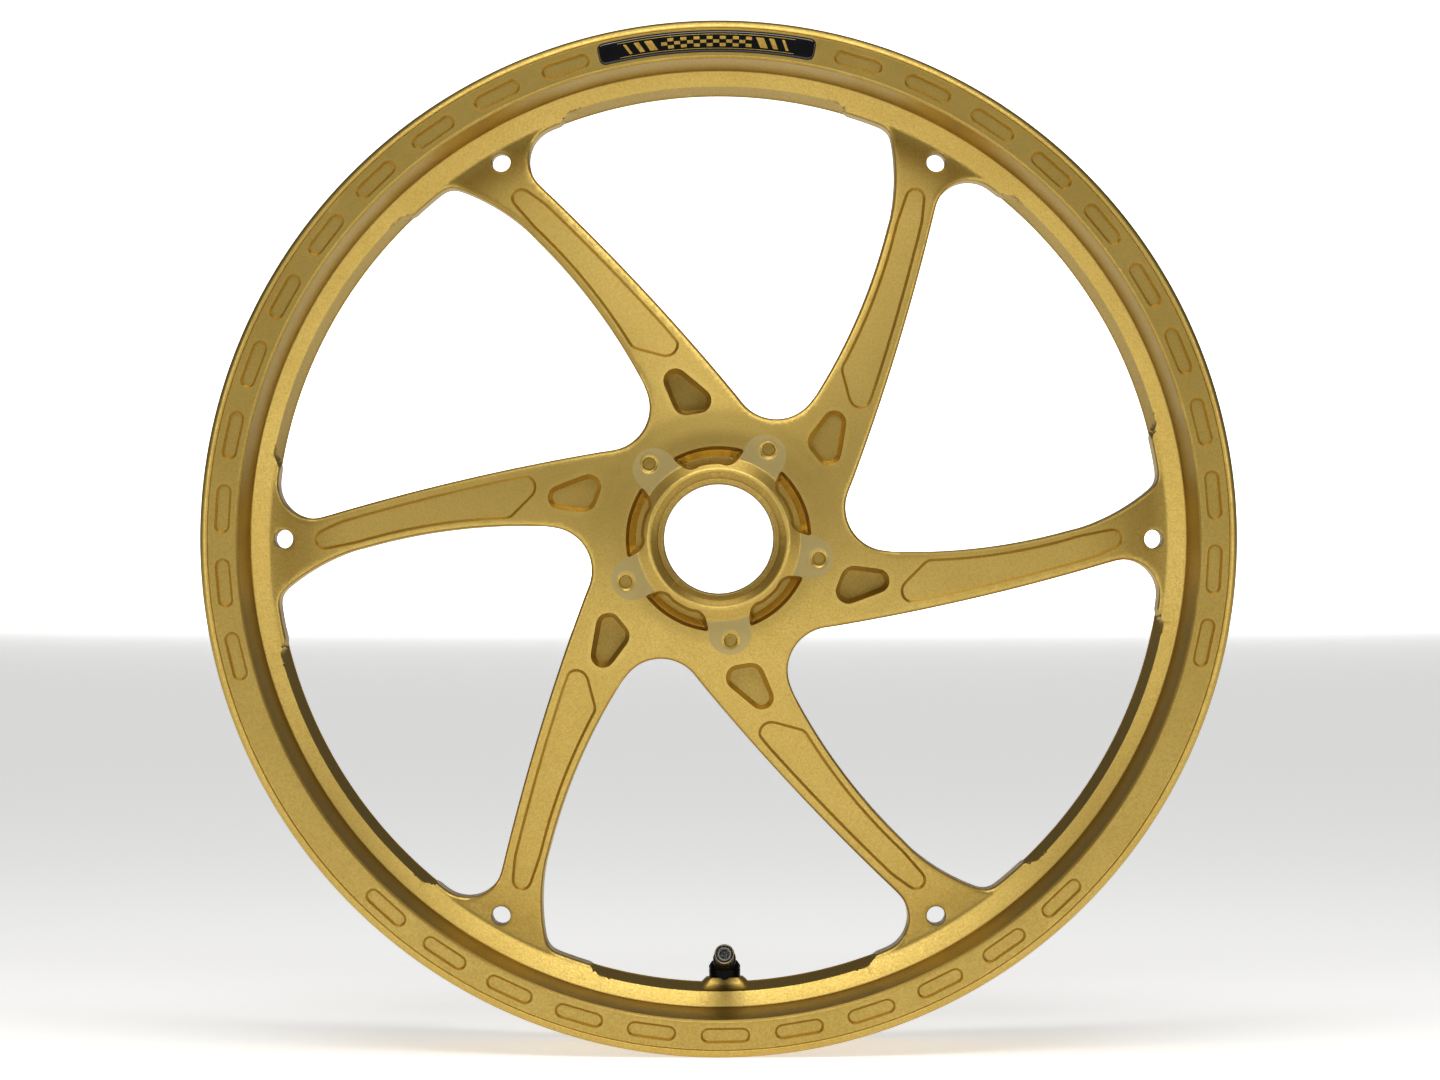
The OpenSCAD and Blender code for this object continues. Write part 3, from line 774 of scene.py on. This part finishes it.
# --- Disc in the cap's end -------------------------------------------------------------
# A thin black anodised disc, glued into the cap's end, with two plain pale bars on it.
disc_r = 2.95
disc_outline = circle(disc_r, 72)
disc_bars = [np.array([(-1.6, y), (-1.5 + 3 * share, y), (-1.3 + 3 * share, y + 0.75), (-1.4, y + 0.75)])
             for y, share in ((-1.15, 0.95), (0.35, 0.8))]
disc = Shell()
top = printed_top(disc, disc_outline, [0, 0.1], [softened(b, 0.3, 0) for b in disc_bars],
                  np.vstack([circle(r, max(6, round(9 * r))) for r in np.arange(0.3, disc_r - 0.3, 0.4)]),
                  lambda inside: CAP_TO - 0.16 + 0.06 * smooth(inside / 0.25),
                  lambda plan, height: on_arm(-plan[:, 1], plan[:, 0], height))
disc_foot = disc.add(on_arm(-disc_outline[:, 1], disc_outline[:, 0], CAP_TO - 0.5))
disc.strip(disc_foot, top)
disc.face(*disc_foot[::-1])
disc.piece("cap_end_disc", "valve_cap", "cap_disc", [cap_black, bright_rim], ["cap_inlay"])

# --- Seals -----------------------------------------------------------------------------
# Moulded rubber rings under the valve's foot, in its core and in its cap, each squeezed
# between two turned faces.

# Black nitrile rubber: matt, with a faint dusty bloom.
rubber, tree, shader, place = new_material("black_nitrile_rubber")
bloom = grain(tree, place, 1.5, 3)
tree.links.new(blended(tree, bloom, rgb("#151515"), rgb("#232322")), shader.inputs["Base Color"])
tree.links.new(between(tree, bloom, 0.6, 0.8), shader.inputs["Roughness"])
bump = add(tree, "ShaderNodeBump", {"Height": grain(tree, place, 0.25), "Strength": 0.2, "Distance": 0.00002})
tree.links.new(bump.outputs["Normal"], shader.inputs["Normal"])


def finished(node, material, edge_mm=0.0):
    """Gives a CAD piece its material, and takes its sharp edges off by edge_mm."""
    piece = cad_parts[node]
    piece.data.materials.clear()
    piece.data.materials.append(material)
    if edge_mm:
        weld = piece.modifiers.new("joined_faces", "WELD")
        weld.merge_threshold = 0.002 * MM
        bevel = piece.modifiers.new("broken_edges", "BEVEL")
        bevel.width, bevel.segments, bevel.limit_method = edge_mm * MM, 2, "ANGLE"
        bevel.angle_limit = math.radians(40)


for node in ("valve_base_seal", "core_cup_seal", "core_gasket", "cap_gasket"):
    finished(node, rubber)

# --- Washer and nut --------------------------------------------------------------------
# Zinc-plated steel, on the tyre side of the rim's wall: they hold the valve's shank.

# Bright zinc plate: cool grey, faintly mottled by the passivation.
zinc, tree, shader, place = new_material("zinc_plated_steel")
mottle = grain(tree, place, 4, 3)
tree.links.new(blended(tree, mottle, rgb("#B4B7BA"), rgb("#C9CBC8")), shader.inputs["Base Color"])
shader.inputs["Metallic"].default_value = 1.0
tree.links.new(between(tree, mottle, 0.28, 0.42), shader.inputs["Roughness"])
finished("valve_washer", zinc, 0.15)
finished("valve_nut", zinc, 0.3)

# --- Valve core ------------------------------------------------------------------------
# A brass plug screwed into the arm, with a brass pin through it that a steel spring
# holds shut.

# Turned brass, with fine tool lines.
brass, tree, shader, place = new_material("turned_brass")
lines = grain(tree, place, 0.2)
tree.links.new(blended(tree, lines, rgb("#B9974F"), rgb("#C9A860")), shader.inputs["Base Color"])
shader.inputs["Metallic"].default_value = 1.0
tree.links.new(between(tree, lines, 0.22, 0.34), shader.inputs["Roughness"])
finished("core_housing", brass, 0.1)
finished("core_pin", brass)

# Drawn spring wire.
wire, tree, shader, place = new_material("drawn_spring_wire")
lines = grain(tree, place, 0.1)
tree.links.new(blended(tree, lines, rgb("#9A9B9E"), rgb("#B5B6B8")), shader.inputs["Base Color"])
shader.inputs["Metallic"].default_value = 1.0
tree.links.new(between(tree, lines, 0.25, 0.35), shader.inputs["Roughness"])
finished("core_spring", wire)

# --- Camera, lights and floor --------------------------------------------------------
# A plain pale sweep and soft boxes in front of the wheel, stronger above and below
# than at the sides. None of it belongs to the object.
scene = bpy.context.scene
camera = bpy.data.objects.new("camera", bpy.data.cameras.new("camera"))
camera.data.lens, camera.data.sensor_width = 139.7, 36
camera.location = (0.00063, -2.551, -0.00045)
camera.rotation_euler = (math.radians(90), 0, 0)
scene.collection.objects.link(camera)
scene.camera = camera


def soft_box(name, place, aim, size, power):
    light = bpy.data.lights.new(name, "AREA")
    light.shape, light.size, light.size_y, light.energy = "RECTANGLE", size[0], size[1], power
    lamp = bpy.data.objects.new(name, light)
    lamp.location = place
    lamp.rotation_euler = (Vector(aim) - Vector(place)).to_track_quat("-Z", "Y").to_euler()
    scene.collection.objects.link(lamp)


soft_box("box_above", (0, -1.2, 1.1), (0, 0, 0), (1.6, 0.5), 10)
soft_box("box_overhead", (0, -0.4, 1.3), (0, 0, -0.2), (1.2, 0.4), 3)
soft_box("box_below", (0, -1.0, -0.3), (0, 0, -0.2), (1.1, 0.2), 2)
soft_box("box_left", (-1.1, -0.95, 0.15), (0.2, 0, 0), (0.35, 0.9), 2.6)
soft_box("box_right", (1.1, -0.95, 0.15), (-0.2, 0, 0), (0.35, 0.9), 2.6)


def stage_sheet(name, corners, material):
    mesh = bpy.data.meshes.new(name)
    mesh.from_pydata(corners, [], [(0, 1, 2, 3)])
    mesh.materials.append(material)
    made = bpy.data.objects.new(name, mesh)
    scene.collection.objects.link(made)


# Pale matt paper for the floor, and a lit white wall far behind it
paper, tree, shader, place = new_material("pale_matt_paper")
tree.links.new(blended(tree, grain(tree, place, 3), rgb("#F2F1EE"), rgb("#F6F5F3")), shader.inputs["Base Color"])
shader.inputs["Roughness"].default_value = 0.9
shader.inputs["Emission Color"].default_value = (1, 1, 1, 1)
shader.inputs["Emission Strength"].default_value = 0.46
white_wall, tree, shader, place = new_material("lit_white_wall")
shader.inputs["Base Color"].default_value = rgb("#FFFFFF")
shader.inputs["Emission Color"].default_value = (1, 1, 1, 1)
shader.inputs["Emission Strength"].default_value = 1.0
FLOOR_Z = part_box("forged_wheel")[0].z
stage_sheet("floor", [(-2.5, -2.2, FLOOR_Z), (2.5, -2.2, FLOOR_Z), (2.5, 12, FLOOR_Z), (-2.5, 12, FLOOR_Z)], paper)
stage_sheet("wall", [(-1.95, 12, FLOOR_Z), (1.95, 12, FLOOR_Z), (1.95, 12, 1.5), (-1.95, 12, 1.5)], white_wall)
world = bpy.data.worlds.new("studio")
scene.world = world
world.use_nodes = True
world.node_tree.nodes["Background"].inputs["Color"].default_value = (1, 1, 1, 1)
world.node_tree.nodes["Background"].inputs["Strength"].default_value = 0.12
scene.view_settings.view_transform = "Standard"
scene.view_settings.look = "Medium High Contrast"
